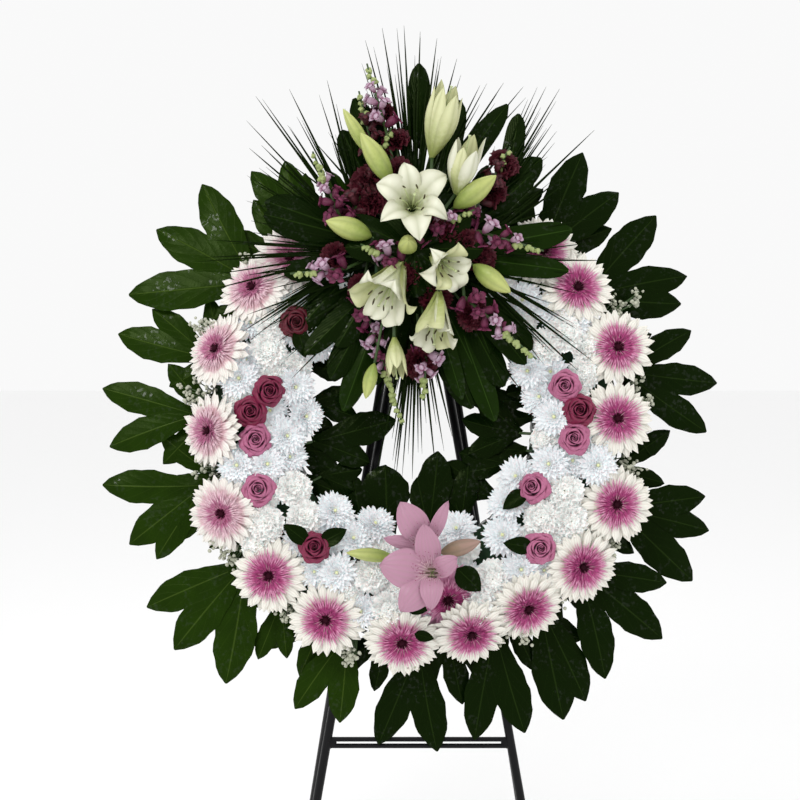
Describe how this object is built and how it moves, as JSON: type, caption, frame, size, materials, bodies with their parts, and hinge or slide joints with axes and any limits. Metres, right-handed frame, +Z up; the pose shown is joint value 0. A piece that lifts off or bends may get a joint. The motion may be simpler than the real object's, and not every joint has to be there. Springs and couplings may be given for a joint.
{
  "type": "funeral wreath",
  "caption": "Funeral wreath of gerberas, chrysanthemums, carnations and roses on a foam ring with a lily spray, leaning on a folding steel easel.",
  "frame": {"origin": "on the floor, under the middle of the whole object's bounding box", "axes": "+X to the right as the flowers are seen from the front, +Y to the back, +Z up; the flowers face -Y and lean back 12 degrees"},
  "size_m": [0.999, 0.6426, 1.5405],
  "materials": {
    "gerbera_petals": "matte petals",
    "white_petals": "matte petals",
    "rose_petals": "velvety petals",
    "glossy_leaf": "glossy leaf",
    "white_lily": "waxy petals",
    "pink_lily": "waxy petals",
    "snapdragon": "matte petals",
    "palm_green": "satin leaf",
    "floral_foam": "matte wet foam",
    "foam_tray": "satin plastic",
    "black_steel": "gloss black paint",
    "rubber_foot": "matte rubber"
  },
  "bodies": {
    "wreath_and_front_frame": {"foam_ring": "floral_foam", "front_crossbar": "black_steel", "front_foot_left": "rubber_foot", "front_foot_right": "rubber_foot", "front_leg_left": "black_steel", "front_leg_right": "black_steel", "gerbera_left": "gerbera_petals", "gerbera_left_lower": "gerbera_petals", "gerberas_bottom": "gerbera_petals", "gerberas_left_upper": "gerbera_petals", "gerberas_lower_left": "gerbera_petals", "gerberas_lower_right": "gerbera_petals", "gerberas_right_lower": "gerbera_petals", "gerberas_right_top": "gerbera_petals", "gerberas_right_upper": "gerbera_petals", "hinge_pin": "black_steel", "hinge_tube": "black_steel", "leaves_bottom": "glossy_leaf", "leaves_bottom_right": "glossy_leaf", "leaves_inner_bottom": "glossy_leaf", "leaves_inner_left": "glossy_leaf", "leaves_inner_right": "glossy_leaf", "leaves_left": "glossy_leaf", "leaves_left_lower": "glossy_leaf", "leaves_left_upper": "glossy_leaf", "leaves_right": "glossy_leaf", "leaves_right_lower": "glossy_leaf", "leaves_right_top": "glossy_leaf", "lilies_left": "white_lily", "lilies_middle": "white_lily", "lilies_right": "white_lily", "lilies_top": "white_lily", "palm_bottom": "palm_green", "palm_left": "palm_green", "palm_right": "palm_green", "palm_top": "palm_green", "pink_lily": "pink_lily", "ring_tray": "foam_tray", "rose_bottom_left": "rose_petals", "rose_bottom_right": "rose_petals", "rose_left_lower": "rose_petals", "rose_left_top": "rose_petals", "rose_right_lower": "rose_petals", "roses_left": "rose_petals", "roses_right": "rose_petals", "snapdragons_left": "snapdragon", "snapdragons_right": "snapdragon", "snapdragons_top": "snapdragon", "spray_foam": "floral_foam", "white_flowers_bottom_left": "white_petals", "white_flowers_bottom_right": "white_petals", "white_flowers_left": "white_petals", "white_flowers_left_upper": "white_petals", "white_flowers_right": "white_petals", "wreath_hook": "black_steel"},
    "rear_frame": {"rear_crossbar": "black_steel", "rear_foot_left": "rubber_foot", "rear_foot_right": "rubber_foot", "rear_leg_left": "black_steel", "rear_leg_right": "black_steel"}
  },
  "joints": [
    {"name": "rear_frame_fold", "type": "hinge", "parent": "wreath_and_front_frame", "child": "rear_frame", "pos_m": [0.0145, -0.0167, 1.19213], "axis": [-1, 0, 0], "range_deg": [0, 20]}
  ]
}
